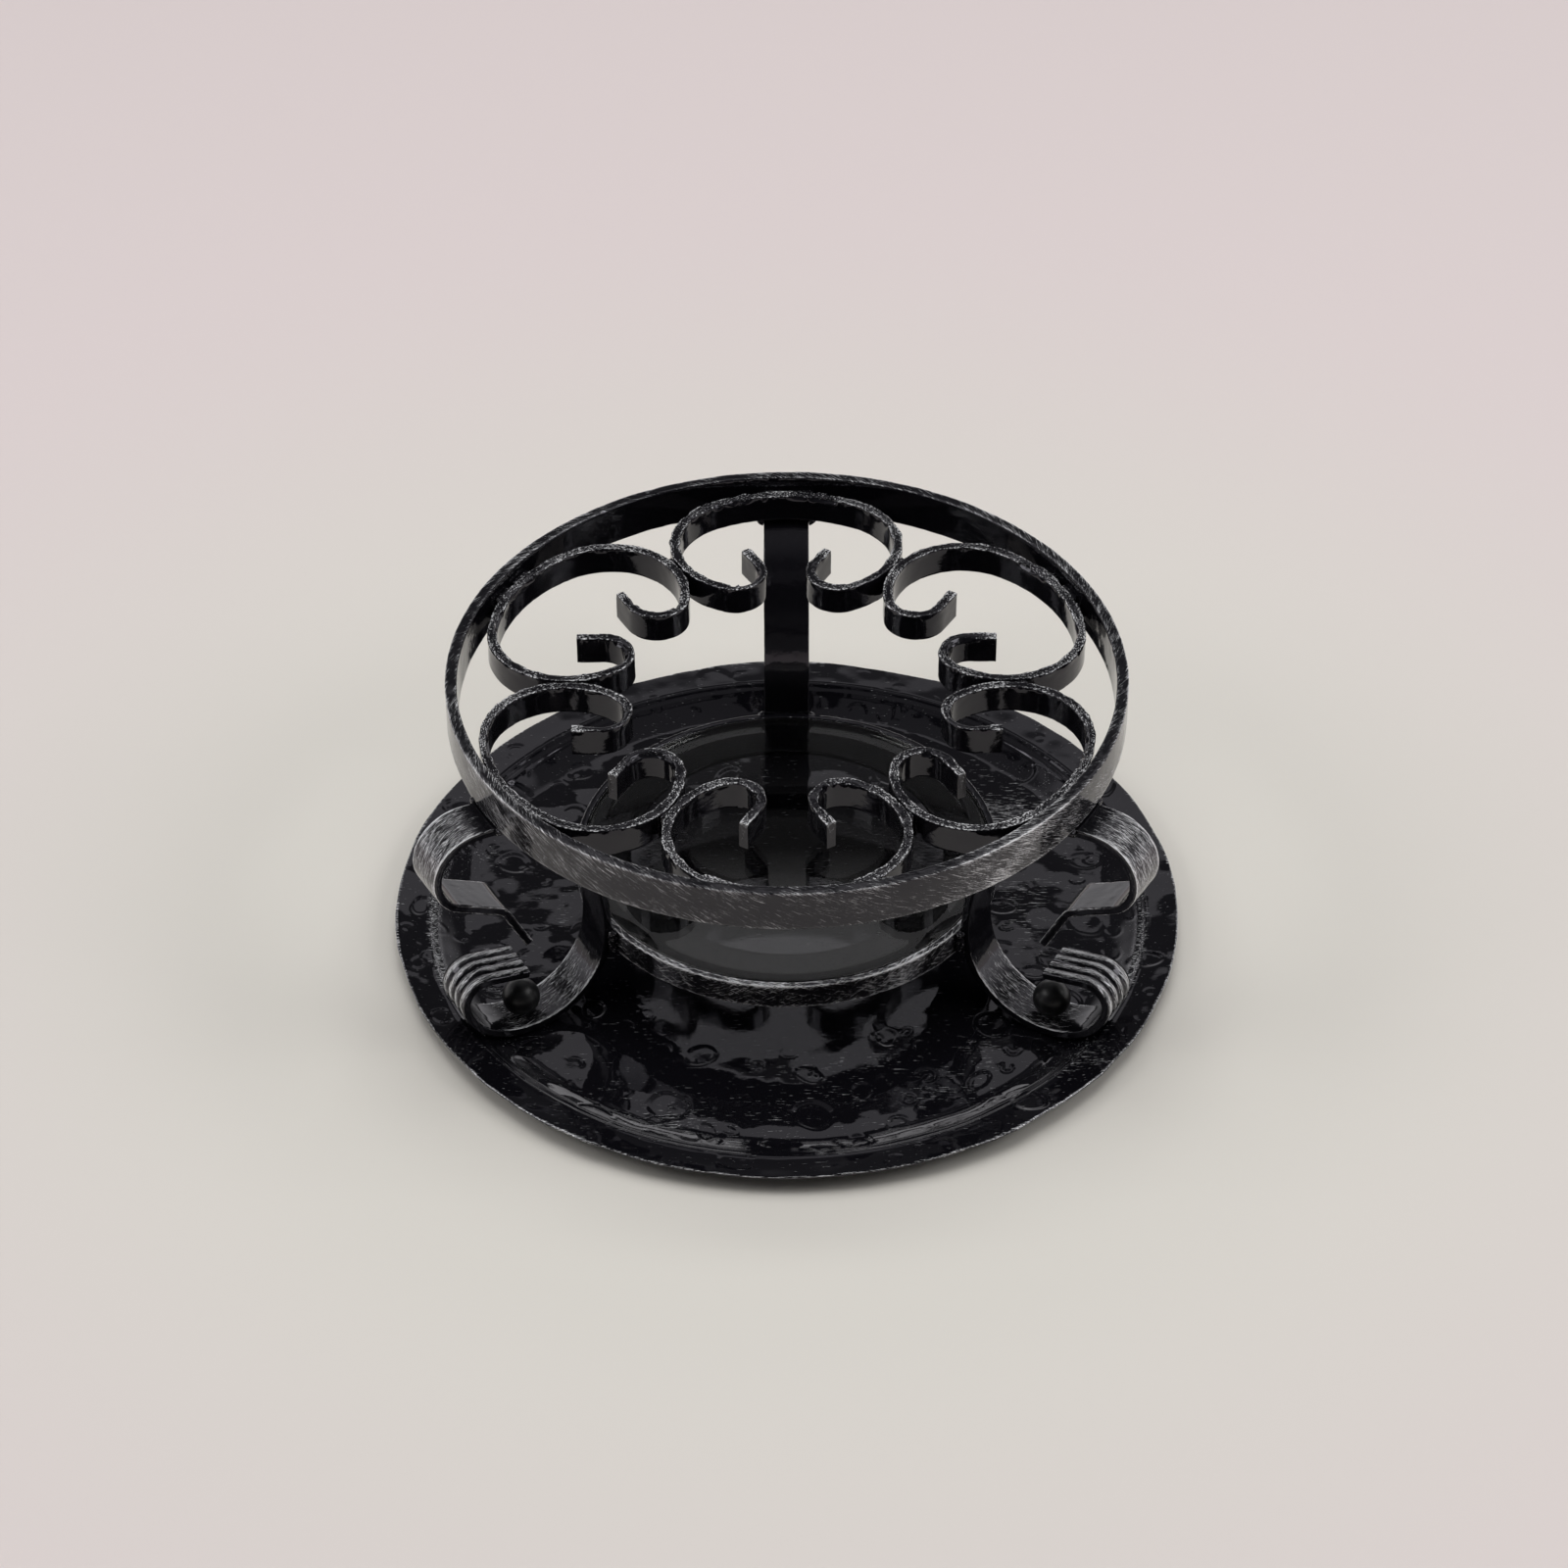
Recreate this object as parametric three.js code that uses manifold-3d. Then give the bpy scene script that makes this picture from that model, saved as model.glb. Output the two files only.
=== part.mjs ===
// Scrolled wrought-iron umbrella stand: a drip dish, three scrolled legs, a top ring
// filled with six C-scrolls, and a low hoop with a ledge that carries a glass disc.
// Millimetres, +Z up. The origin is on the floor, under the centre of the dish.
import * as THREE from 'three';
import { mergeVertices } from 'three/addons/utils/BufferGeometryUtils.js';
import Module from 'manifold-3d';

const wasm = await Module();
wasm.setup();

// ---------------------------------------------------------------- driving sizes
const GAP = 0.3; // clearance kept between pieces that touch on the real stand
const COUNT_SCROLLS = 6;
const FIRST_SCROLL = 90; // degrees round Z, the scroll at the back
const LEG_AZIMUTHS = { back: 90, left: 210, right: 329 }; // hand set, one a degree off even
const HALF_LEG_SPACING = 60; // degrees from a leg to the middle of the gap after it
const ROUND_STEPS = 72; // facets round the large circles

const DISH_RADIUS = 175;
const DISH_RIM_HEIGHT = 10.25; // floor to the highest point of the rim
const SHEET = 1.5; // thickness of the dish
const FLOOR_RADIUS = 145.2; // where the flat floor of the dish turns up
const CREASE_RADIUS = 160; // where the wall turns out into the flange
const CREASE_HEIGHT = 8.5;
const WALL_BEND = { out: 7, up: 1.9 }; // how the wall's curve leaves the flat floor
const UNDER_SHIFT = 0.4; // the underside's bends lie this much further out
const EDGE_CHAMFER = 0.6; // on the upper edge of the dish and the glass

const RING_RADIUS = 146; // outer face of the top ring, which rests on the legs
const RING_BAR = { height: 19, thickness: 5 };

const SCROLL_BAR = { height: 13, thickness: 4.2 };
const SCROLL_STAND_OFF = 2; // bridged by weld between the ring and the scrolls

const HOOP_BAR = { height: 12, thickness: 3 }; // the low hoop, held between the legs
const HOOP_TOP = 43.5;

const GLASS_THICKNESS = 4; // its top is flush with the hoop's
const LEDGE = { innerRadius: 69, thickness: 2 }; // flat ring inside the hoop, under the glass

const LEG_BAR = { width: 20.4, thickness: 3.6 };
const FLUTES = { count: 3, width: 2, depth: 0.9, length: 62 };

const BALL_RADIUS = 8.5;
const BALL_FROM_CENTRE = 133.7;
const STUD_RADIUS = 2.5;

const WELD = { legTop: 3.2, legHoop: 2.8, ledge: 2.5, ledgeLength: 10, margin: 2 };
const RING_WELD_REACH = { near: 2, far: 12 }; // across, from a scroll's middle
const PAIR_WELD_REACH = { near: 4.5, far: 8.5 }; // out from where two scrolls touch

// Bends are listed in the order a smith makes them: a straight is { length }, and an arc
// is { radius, turn } with turn in degrees, positive to the left.
const SCROLL_HALF_BENDS = [
  { radius: 71.8, turn: -25.5 },
  { radius: 33.1, turn: -78.7 },
  { radius: 35.1, turn: -55.4 },
  { radius: 12, turn: -140.6 },
  { length: 11.4 },
];
const LEG_START = { x: 133, y: DISH_RIM_HEIGHT + 42.5, heading: 64.2 }; // upper tip
const LEG_BENDS = [
  { length: 22.1 },
  { radius: 8.3, turn: -36.6 },
  { length: 20.3 },
  { radius: 17.5, turn: 34.1 },
  { radius: 18.7, turn: 114.3 },
  { radius: 48.1, turn: 53.9 },
  { radius: 89.2, turn: 45.7 },
  { radius: 37.3, turn: 111.7 },
  { radius: 27.4, turn: 51 },
  { radius: 10.3, turn: 113.2 },
  { length: 18.6 },
];

// ---------------------------------------------------------------- materials
function ironPaint() {
  return new THREE.MeshStandardMaterial({ color: 0x17171a, roughness: 0.3, metalness: 0.6 });
}

function brushedIron() {
  return new THREE.MeshStandardMaterial({ color: 0x6d6d72, roughness: 0.45, metalness: 0.8 });
}

function satinBlack() {
  return new THREE.MeshStandardMaterial({ color: 0x0c0c0d, roughness: 0.35, metalness: 0.3 });
}

function plainSteel() {
  return new THREE.MeshStandardMaterial({ color: 0x8d8f92, roughness: 0.4, metalness: 1 });
}

function clearGlass() {
  return new THREE.MeshStandardMaterial({ color: 0xdce4e2, roughness: 0.05, metalness: 0 });
}

// ---------------------------------------------------------------- helpers
const radians = THREE.MathUtils.degToRad;

function toSolid(geometry) {
  const plain = geometry.clone();
  plain.deleteAttribute('normal');
  plain.deleteAttribute('uv');
  const merged = mergeVertices(plain, 1e-4);
  return new wasm.Manifold(new wasm.Mesh({
    numProp: 3,
    vertProperties: merged.attributes.position.array,
    triVerts: new Uint32Array(merged.index.array),
  }));
}

function toGeometry(solid) {
  const mesh = solid.getMesh();
  const geometry = new THREE.BufferGeometry();
  geometry.setAttribute('position', new THREE.BufferAttribute(mesh.vertProperties, 3));
  geometry.setIndex(new THREE.BufferAttribute(mesh.triVerts, 1));
  geometry.computeVertexNormals();
  return geometry;
}

function cut(geometry, cutters) {
  let solid = toSolid(geometry);
  for (const cutter of cutters) {
    solid = solid.subtract(toSolid(cutter));
  }
  return toGeometry(solid);
}

// Spins a closed profile of (radius, height) points about Z.
function revolve(points, steps = ROUND_STEPS) {
  return toGeometry(toSolid(new THREE.LatheGeometry(points, steps).rotateX(Math.PI / 2)));
}

// Extrudes a shape by height, centred on its own plane.
function slab(shape, height, curveSegments = 6) {
  const geometry = new THREE.ExtrudeGeometry(shape, { depth: height, bevelEnabled: false, curveSegments });
  return geometry.translate(0, 0, -height / 2);
}

function cylinder(radius, bottom, top, sides = 16) {
  return new THREE.CylinderGeometry(radius, radius, top - bottom, sides)
    .rotateX(Math.PI / 2)
    .translate(0, 0, (bottom + top) / 2);
}

// Follows a list of bends and returns points with their headings, in radians.
function followBends(start, bends, degreesPerStep = 9) {
  let { x, y } = start;
  let heading = radians(start.heading);
  const line = [{ x, y, heading }];
  for (const bend of bends) {
    if (bend.length) {
      x += bend.length * Math.cos(heading);
      y += bend.length * Math.sin(heading);
      line.push({ x, y, heading });
      continue;
    }
    const side = Math.sign(bend.turn);
    const centreX = x - side * bend.radius * Math.sin(heading);
    const centreY = y + side * bend.radius * Math.cos(heading);
    const steps = Math.ceil(Math.abs(bend.turn) / degreesPerStep);
    const from = heading;
    for (let i = 1; i <= steps; i++) {
      heading = from + (radians(bend.turn) * i) / steps;
      x = centreX + side * bend.radius * Math.sin(heading);
      y = centreY - side * bend.radius * Math.cos(heading);
      line.push({ x, y, heading });
    }
  }
  return line;
}

// Points at a distance to the left of a bent line.
function offsetLine(line, left) {
  return line.map(({ x, y, heading }) => (
    new THREE.Vector2(x - left * Math.sin(heading), y + left * Math.cos(heading))
  ));
}

// The outline between two offsets of a line, such as the two faces of a flat bar.
function bandShape(line, right, left) {
  return new THREE.Shape([...offsetLine(line, right), ...offsetLine(line, left).reverse()]);
}

// The last stretch of a line, of at least the given length.
function endOf(line, length) {
  let travelled = 0;
  let first = line.length - 1;
  while (first > 0 && travelled < length) {
    travelled += Math.hypot(line[first].x - line[first - 1].x, line[first].y - line[first - 1].y);
    first -= 1;
  }
  return line.slice(first);
}

// ---------------------------------------------------------------- shared bent lines
const legLine = followBends(LEG_START, LEG_BENDS);
const legFace = offsetLine(legLine, -LEG_BAR.thickness / 2); // the face on the outside of the curls
const legTop = Math.max(...legFace.map(({ y }) => y));
const legWaist = Math.min(...legFace.map(({ x }) => x));

const ringBottom = legTop + GAP;
const ringInner = RING_RADIUS - RING_BAR.thickness;
const hoopRadius = legWaist - GAP;
const hoopInner = hoopRadius - HOOP_BAR.thickness;
const ledgeBottom = HOOP_TOP - GLASS_THICKNESS - GAP - LEDGE.thickness;

const scrollTop = { x: 0, y: ringInner - SCROLL_STAND_OFF - SCROLL_BAR.thickness / 2, heading: 0 };
const scrollHalf = followBends(scrollTop, SCROLL_HALF_BENDS);
const scrollMiddle = ringBottom + SCROLL_BAR.height / 2;

// ---------------------------------------------------------------- drip dish
function dishGeometry() {
  const top = new THREE.Path();
  top.moveTo(0, SHEET);
  top.lineTo(FLOOR_RADIUS, SHEET);
  top.quadraticCurveTo(FLOOR_RADIUS + WALL_BEND.out, SHEET + WALL_BEND.up, CREASE_RADIUS, CREASE_HEIGHT);
  top.lineTo(DISH_RADIUS - EDGE_CHAMFER, DISH_RIM_HEIGHT);
  top.lineTo(DISH_RADIUS, DISH_RIM_HEIGHT - SHEET / 2);
  const under = new THREE.Path();
  under.moveTo(DISH_RADIUS - EDGE_CHAMFER, DISH_RIM_HEIGHT - SHEET);
  under.lineTo(CREASE_RADIUS + UNDER_SHIFT, CREASE_HEIGHT - SHEET);
  under.quadraticCurveTo(FLOOR_RADIUS + WALL_BEND.out + UNDER_SHIFT, WALL_BEND.up - SHEET, FLOOR_RADIUS, 0);
  under.lineTo(0, 0);
  return revolve([...top.getPoints(3), ...under.getPoints(3)].reverse());
}

// ---------------------------------------------------------------- top ring and low hoop
function hoopGeometry(outerRadius, bar, bottom) {
  const inner = outerRadius - bar.thickness;
  const profile = new THREE.Path();
  profile.moveTo(inner, bottom);
  profile.lineTo(outerRadius, bottom);
  profile.lineTo(outerRadius, bottom + bar.height);
  profile.lineTo(inner, bottom + bar.height);
  profile.lineTo(inner, bottom);
  return revolve(profile.getPoints());
}

// ---------------------------------------------------------------- glass disc and its ledge
function glassGeometry() {
  const edge = hoopInner - GAP;
  const underside = HOOP_TOP - GLASS_THICKNESS;
  const profile = new THREE.Path();
  profile.moveTo(0, underside);
  profile.lineTo(edge, underside);
  profile.lineTo(edge, HOOP_TOP - EDGE_CHAMFER);
  profile.lineTo(edge - EDGE_CHAMFER, HOOP_TOP);
  profile.lineTo(0, HOOP_TOP);
  return revolve(profile.getPoints());
}

function ledgeGeometry() {
  const edge = hoopInner - GAP;
  const flatBar = { height: LEDGE.thickness, thickness: edge - LEDGE.innerRadius };
  return hoopGeometry(edge, flatBar, ledgeBottom);
}

// ---------------------------------------------------------------- C-scrolls
// A scroll is drawn in a frame whose +Y points out from the stand's centre.
function scrollGeometry() {
  const half = SCROLL_BAR.thickness / 2;
  const mirrored = scrollHalf.slice(1).map(({ x, y, heading }) => ({ x: -x, y, heading: -heading }));
  const whole = [...mirrored.reverse(), ...scrollHalf];
  return slab(bandShape(whole, -half, half), SCROLL_BAR.height);
}

// ---------------------------------------------------------------- legs
// Stands a shape drawn as (radius, height) upright, with its depth across the leg.
function upright(geometry) {
  return geometry.rotateX(Math.PI / 2);
}

function legGeometry() {
  const half = LEG_BAR.thickness / 2;
  const bar = upright(slab(bandShape(legLine, -half, half), LEG_BAR.width));
  const flutedBand = bandShape(endOf(legLine, FLUTES.length), -half - 1, FLUTES.depth - half);
  const pitch = LEG_BAR.width / (FLUTES.count + 1);
  const cutters = [];
  for (let i = 1; i <= FLUTES.count; i++) {
    const across = i * pitch - LEG_BAR.width / 2;
    cutters.push(upright(slab(flutedBand, FLUTES.width)).translate(0, across, 0));
  }
  const hole = cylinder(STUD_RADIUS + GAP, 0, DISH_RIM_HEIGHT);
  cutters.push(hole.translate(BALL_FROM_CENTRE, 0, 0));
  return cut(bar, cutters);
}

// ---------------------------------------------------------------- ball nuts and studs
// The ball rests on the inside of the lower curl.
function ballCentreHeight() {
  const clear = BALL_RADIUS + GAP + LEG_BAR.thickness / 2;
  const below = legLine.filter(({ y }) => y < DISH_RIM_HEIGHT);
  const heights = below
    .filter(({ x }) => Math.abs(x - BALL_FROM_CENTRE) < clear)
    .map(({ x, y }) => y + Math.sqrt(clear ** 2 - (x - BALL_FROM_CENTRE) ** 2));
  return Math.max(...heights);
}

const ballHeight = ballCentreHeight();
const studTop = ballHeight + BALL_RADIUS / 3;

function ballGeometry() {
  const ball = new THREE.SphereGeometry(BALL_RADIUS, 20, 12)
    .rotateX(Math.PI / 2)
    .translate(0, 0, ballHeight);
  return cut(ball, [cylinder(STUD_RADIUS + GAP, 0, studTop + GAP)]);
}

function studGeometry() {
  return cylinder(STUD_RADIUS, SHEET + GAP, studTop);
}

// ---------------------------------------------------------------- weld beads
// A fillet in the corner of two walls that run along the axes u and v from a corner point.
function filletGeometry(size, length, u, v, corner) {
  const shape = new THREE.Shape();
  shape.moveTo(GAP, GAP);
  shape.lineTo(size, GAP);
  shape.quadraticCurveTo(size * 0.8, size * 0.8, GAP, size);
  const turn = new THREE.Matrix4().makeBasis(u, v, new THREE.Vector3().crossVectors(u, v));
  return slab(shape, length, 4)
    .applyMatrix4(turn)
    .translate(...corner);
}

// Under the ring and its scroll, on one side of a leg.
function legTopWeld(side) {
  const across = new THREE.Vector3(0, side, 0);
  const down = new THREE.Vector3(0, 0, -1);
  const length = RING_BAR.thickness + SCROLL_STAND_OFF + SCROLL_BAR.thickness;
  const corner = [RING_RADIUS - length / 2, (side * LEG_BAR.width) / 2, ringBottom];
  return filletGeometry(WELD.legTop, length, across, down, corner);
}

// Upright on the hoop's outer face, on one side of a leg.
function legHoopWeld(side) {
  const out = new THREE.Vector3(1, 0, 0);
  const across = new THREE.Vector3(0, side, 0);
  const wall = Math.sqrt(hoopRadius ** 2 - (LEG_BAR.width / 2) ** 2);
  const corner = [wall, (side * LEG_BAR.width) / 2, HOOP_TOP - HOOP_BAR.height / 2];
  return filletGeometry(WELD.legHoop, HOOP_BAR.height - WELD.margin, out, across, corner);
}

// Under the ledge, against the hoop's inner face.
function ledgeWeld() {
  const inward = new THREE.Vector3(-1, 0, 0);
  const down = new THREE.Vector3(0, 0, -1);
  const corner = [hoopInner, 0, ledgeBottom];
  return filletGeometry(WELD.ledge, WELD.ledgeLength, inward, down, corner);
}

// Bridges the ring's inner face and a scroll, between two distances from the scroll's middle.
function scrollRingWeld(side) {
  const { near, far } = RING_WELD_REACH;
  const ringFace = ringInner - GAP;
  const bend = SCROLL_HALF_BENDS[0].radius;
  const scrollFace = bend + SCROLL_BAR.thickness / 2 + GAP;
  const shape = new THREE.Shape();
  shape.absarc(0, 0, ringFace, Math.acos(near / ringFace), Math.acos(far / ringFace), true);
  const centre = scrollTop.y - bend;
  shape.absarc(0, centre, scrollFace, Math.acos(far / scrollFace), Math.acos(near / scrollFace));
  const bead = slab(shape, SCROLL_BAR.height - WELD.margin, 3);
  return side > 0 ? bead : bead.rotateY(Math.PI);
}

// In the wedge on the outer side of the line where two scrolls touch. The frame's +X points
// out along that line.
function scrollPairWeld() {
  const { near, far } = PAIR_WELD_REACH;
  const halfAngle = 180 / COUNT_SCROLLS;
  const [shoulder, flank, belly] = SCROLL_HALF_BENDS;
  const toContact = -90 - halfAngle - shoulder.turn - flank.turn;
  const bends = [shoulder, flank, { radius: belly.radius, turn: toContact }];
  const contact = followBends(scrollTop, bends).at(-1);
  const along = contact.x * Math.sin(radians(halfAngle)) + contact.y * Math.cos(radians(halfAngle));
  const face = belly.radius + SCROLL_BAR.thickness / 2 + GAP;
  const centre = face - GAP / 2;
  const [start, end] = [Math.asin(near / face), Math.asin(far / face)];
  const shape = new THREE.Shape();
  shape.absarc(along, centre, face, start - Math.PI / 2, end - Math.PI / 2);
  shape.absarc(along, -centre, face, Math.PI / 2 - end, Math.PI / 2 - start);
  return slab(shape, SCROLL_BAR.height - WELD.margin, 3);
}

// ---------------------------------------------------------------- assembly
const stand = new THREE.Group();

// A frame at the stand's centre whose +X points out along the given azimuth.
function frameAt(azimuth) {
  const frame = new THREE.Group();
  frame.rotation.z = radians(azimuth);
  stand.add(frame);
  return frame;
}

function place(name, geometry, material, frame = stand) {
  const mesh = new THREE.Mesh(geometry, material);
  mesh.name = name;
  frame.add(mesh);
  return mesh;
}

place('drip_dish', dishGeometry(), ironPaint());
place('top_ring', hoopGeometry(RING_RADIUS, RING_BAR, ringBottom), brushedIron());
place('low_hoop', hoopGeometry(hoopRadius, HOOP_BAR, HOOP_TOP - HOOP_BAR.height), brushedIron());
place('glass_ledge', ledgeGeometry(), ironPaint());
place('glass_disc', glassGeometry(), clearGlass());

Object.entries(LEG_AZIMUTHS).forEach(([where, azimuth], i) => {
  const frame = frameAt(azimuth);
  place(`leg_${where}`, legGeometry(), brushedIron(), frame);
  place(`ball_nut_${where}`, ballGeometry(), satinBlack(), frame).position.x = BALL_FROM_CENTRE;
  place(`stud_${where}`, studGeometry(), plainSteel(), frame).position.x = BALL_FROM_CENTRE;
  for (const [hand, side] of [['a', 1], ['b', -1]]) {
    place(`weld_ring_leg_${where}_${hand}`, legTopWeld(side), ironPaint(), frame);
    place(`weld_hoop_leg_${where}_${hand}`, legHoopWeld(side), ironPaint(), frame);
  }
  const between = frameAt(azimuth + HALF_LEG_SPACING);
  place(`weld_ledge_${i + 1}`, ledgeWeld(), ironPaint(), between);
});

const SCROLL_NAMES = ['back', 'back_left', 'front_left', 'front', 'front_right', 'back_right'];
SCROLL_NAMES.forEach((where, i) => {
  const azimuth = FIRST_SCROLL + (i * 360) / COUNT_SCROLLS;
  const frame = frameAt(azimuth - 90); // the scroll's own +Y points out
  frame.position.z = scrollMiddle;
  place(`scroll_${where}`, scrollGeometry(), brushedIron(), frame);
  place(`weld_ring_scroll_${where}_a`, scrollRingWeld(1), ironPaint(), frame);
  place(`weld_ring_scroll_${where}_b`, scrollRingWeld(-1), ironPaint(), frame);
  const between = frameAt(azimuth + 180 / COUNT_SCROLLS);
  between.position.z = scrollMiddle;
  place(`weld_scrolls_${i + 1}`, scrollPairWeld(), ironPaint(), between);
});

export default stand;
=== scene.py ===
"""Looks of a scrolled wrought-iron umbrella stand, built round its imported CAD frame.

Lengths are millimetres in the geometry code and metres in Blender. +Z is up, +Y is the back, and
the origin is on the floor under the centre of the drip dish.
"""
import math

import bmesh
import bpy
import numpy as np
from mathutils import Matrix, Vector


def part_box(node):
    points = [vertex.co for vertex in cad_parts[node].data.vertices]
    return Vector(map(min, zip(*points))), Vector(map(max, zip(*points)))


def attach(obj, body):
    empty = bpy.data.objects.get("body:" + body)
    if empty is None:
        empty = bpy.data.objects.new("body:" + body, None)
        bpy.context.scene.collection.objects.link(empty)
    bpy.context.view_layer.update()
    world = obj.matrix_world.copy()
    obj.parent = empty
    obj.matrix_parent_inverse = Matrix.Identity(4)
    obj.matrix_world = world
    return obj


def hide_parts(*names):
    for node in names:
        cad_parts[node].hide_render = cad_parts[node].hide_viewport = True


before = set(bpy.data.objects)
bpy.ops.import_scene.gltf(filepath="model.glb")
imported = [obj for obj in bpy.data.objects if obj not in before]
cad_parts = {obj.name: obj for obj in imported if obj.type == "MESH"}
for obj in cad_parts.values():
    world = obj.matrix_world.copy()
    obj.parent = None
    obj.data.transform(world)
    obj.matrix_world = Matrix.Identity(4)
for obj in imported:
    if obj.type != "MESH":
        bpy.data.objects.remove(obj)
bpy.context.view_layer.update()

# ------------------------------------------------------------------ sizes, read from the frame
MM = 0.001


def node_box(node):
    low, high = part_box(node)
    return np.array(low) / MM, np.array(high) / MM


_, dish_high = node_box("drip_dish")
ring_low, ring_high = node_box("top_ring")
hoop_low, hoop_high = node_box("low_hoop")
glass_low, glass_high = node_box("glass_disc")
ledge_low, ledge_high = node_box("glass_ledge")
leg_low, leg_high = node_box("leg_back")
scroll_low, scroll_high = node_box("scroll_back")
ball_low, ball_high = node_box("ball_nut_back")

DISH_RADIUS = dish_high[0]
RIM_HEIGHT = dish_high[2]
RING_RADIUS = ring_high[0]
HOOP_RADIUS = hoop_high[0]
GLASS_RADIUS = glass_high[0]
LEG_WIDTH = leg_high[0] - leg_low[0]

# ------------------------------------------------------------------ sizes of the parts' sections
SHEET = 1.5
LEDGE_INNER_RADIUS = 69
FLOOR_RADIUS = 145.2  # where the flat floor of the dish turns up
CREASE_RADIUS = 160  # where the wall turns out into the flange
CREASE_HEIGHT = 8.5
CREASE_GAP = 3.6  # between the crease's two ridges
RING_THICKNESS = 5
HOOP_THICKNESS = 3
SCROLL_THICKNESS = 4.2
LEG_THICKNESS = 3.6
FLUTE_LENGTH = 62
FLUTE_DEPTH = 1.0
REEDS = 4
SCROLL_TIP = 142  # travel from the middle of a scroll to where its tips start
RING_WELD = 24  # travel from the middle of a scroll to its welds on the ring
SIDE_WELD = 128  # and to where the torch touched it again
ARCH = (50, 92)  # travel along a leg where the brushed arch starts and ends
FOOT = (235, 275)
TIP_END = 40
LEG_AZIMUTHS = {"back": 90, "left": 210, "right": 329}
SCROLL_NAMES = ["back", "back_left", "front_left", "front", "front_right", "back_right"]

# Bends in the order a smith makes them: (radius, turn in degrees, positive to the left), or
# (None, length) for a straight.
SCROLL_HALF_BENDS = [(71.8, -25.5), (33.1, -78.7), (35.1, -55.4), (12, -140.6), (None, 11.4)]
LEG_START = (133, RIM_HEIGHT + 42.5, 64.2)
LEG_BENDS = [
    (None, 22.1), (8.3, -36.6), (None, 20.3), (17.5, 34.1), (18.7, 114.3), (48.1, 53.9),
    (89.2, 45.7), (37.3, 111.7), (27.4, 51), (10.3, 113.2), (None, 18.6),
]


# ------------------------------------------------------------------ how much silver shows
# The paint adds the wear to its own texture: PAINTED leaves the black whole, 0.4 shows streaks, and
# 0.5 is mostly brushed. The bars' amounts come on top of PAINTED or "all", and the dish's are totals.
PAINTED = 0.2
RING_WEAR = {"outside": 0.19, "top": 0.15, "edges": 0.09, "inner edges": 0.01}
# One of the hoop's amounts draws a painted highlight, a thin silver line along its inner top edge.
HOOP_WEAR = {"all": 0.22, "outside": 0.15, "front top": 0.17, "line": 0.2, "edges": 0.04,
             "outer edges": 0.13, "front edges": 0.05}
SCROLL_WEAR = {"top": 0.17, "edges": 0.13, "tips": 0.08}
LEG_WEAR = {"arch": 0.23, "curl": 0.02, "reeds": 0.29, "foot": 0.19, "tip": 0.08, "edges": 0.1,
            "arch edges": 0.1, "tip edges": 0.16, "foot edges": 0.1}
DISH_WEAR = {"crease": 0.34, "inner crease": 0.27, "hatch": 0.44, "floor": 0.315, "less at back": 0.06,
             "rubbed": 0.3, "rim": 0.5, "underside": 0.1}
CAP_WEAR = 0.4
WELD_WEAR = 0.34


# ------------------------------------------------------------------ noise and small helpers
HASH_STEPS = np.array([374761393, 668265263, 2147483647])
HASH_SEED = 1274126177


def lattice_noise(points, size, seed):
    """Smooth noise from -1 to 1 at points in mm, with features of about the given size."""
    cell = points / size + seed * 17.31
    base = np.floor(cell).astype(np.int64)
    part = cell - base
    part = part * part * (3 - 2 * part)
    total = np.zeros(len(points))
    for corner in np.ndindex(2, 2, 2):
        index = base + np.array(corner)
        key = index @ HASH_STEPS + seed * HASH_SEED
        key = (key ^ (key >> 13)) * 1103515245
        value = ((key ^ (key >> 16)) & 0xFFFF) / 32767.5 - 1
        weight = np.prod(np.where(np.array(corner), part, 1 - part), axis=1)
        total += value * weight
    return total


def layered_noise(points, *layers):
    """A sum of noises, each given as its height, size and seed."""
    return sum(height * lattice_noise(points, size, seed) for height, size, seed in layers)


def on_plane(x, y):
    return np.column_stack([x, y, np.zeros(len(x))])


def smooth_step(low, high, value):
    t = np.clip((value - low) / (high - low), 0, 1)
    return t * t * (3 - 2 * t)


def between(low, high, soft_low, soft_high, value):
    """1 between two values, fading to 0 within the soft lengths beyond each."""
    return smooth_step(low - soft_low, low, value) * (1 - smooth_step(high, high + soft_high, value))


def bump_at(value, centre, width):
    return np.exp(-(((value - centre) / width) ** 2))


def make_object(name, points, faces, wear=None, grain=None):
    """Makes a mesh object from points in mm, with its wear and grain kept as attributes."""
    mesh = bpy.data.meshes.new(name)
    mesh.from_pydata((points * MM).tolist(), [], faces)
    if wear is not None:
        mesh.attributes.new("wear", "FLOAT", "POINT").data.foreach_set("value", np.asarray(wear, np.float32))
    if grain is not None:
        flat = np.asarray(grain, np.float32).ravel()
        mesh.attributes.new("grain", "FLOAT_VECTOR", "POINT").data.foreach_set("vector", flat)
    solid = bmesh.new()
    solid.from_mesh(mesh)
    bmesh.ops.recalc_face_normals(solid, faces=solid.faces)
    solid.to_mesh(mesh)
    solid.free()
    mesh.polygons.foreach_set("use_smooth", [True] * len(mesh.polygons))
    mesh.set_sharp_from_angle(angle=math.radians(40))
    obj = bpy.data.objects.new(name, mesh)
    bpy.context.scene.collection.objects.link(obj)
    return obj


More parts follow.
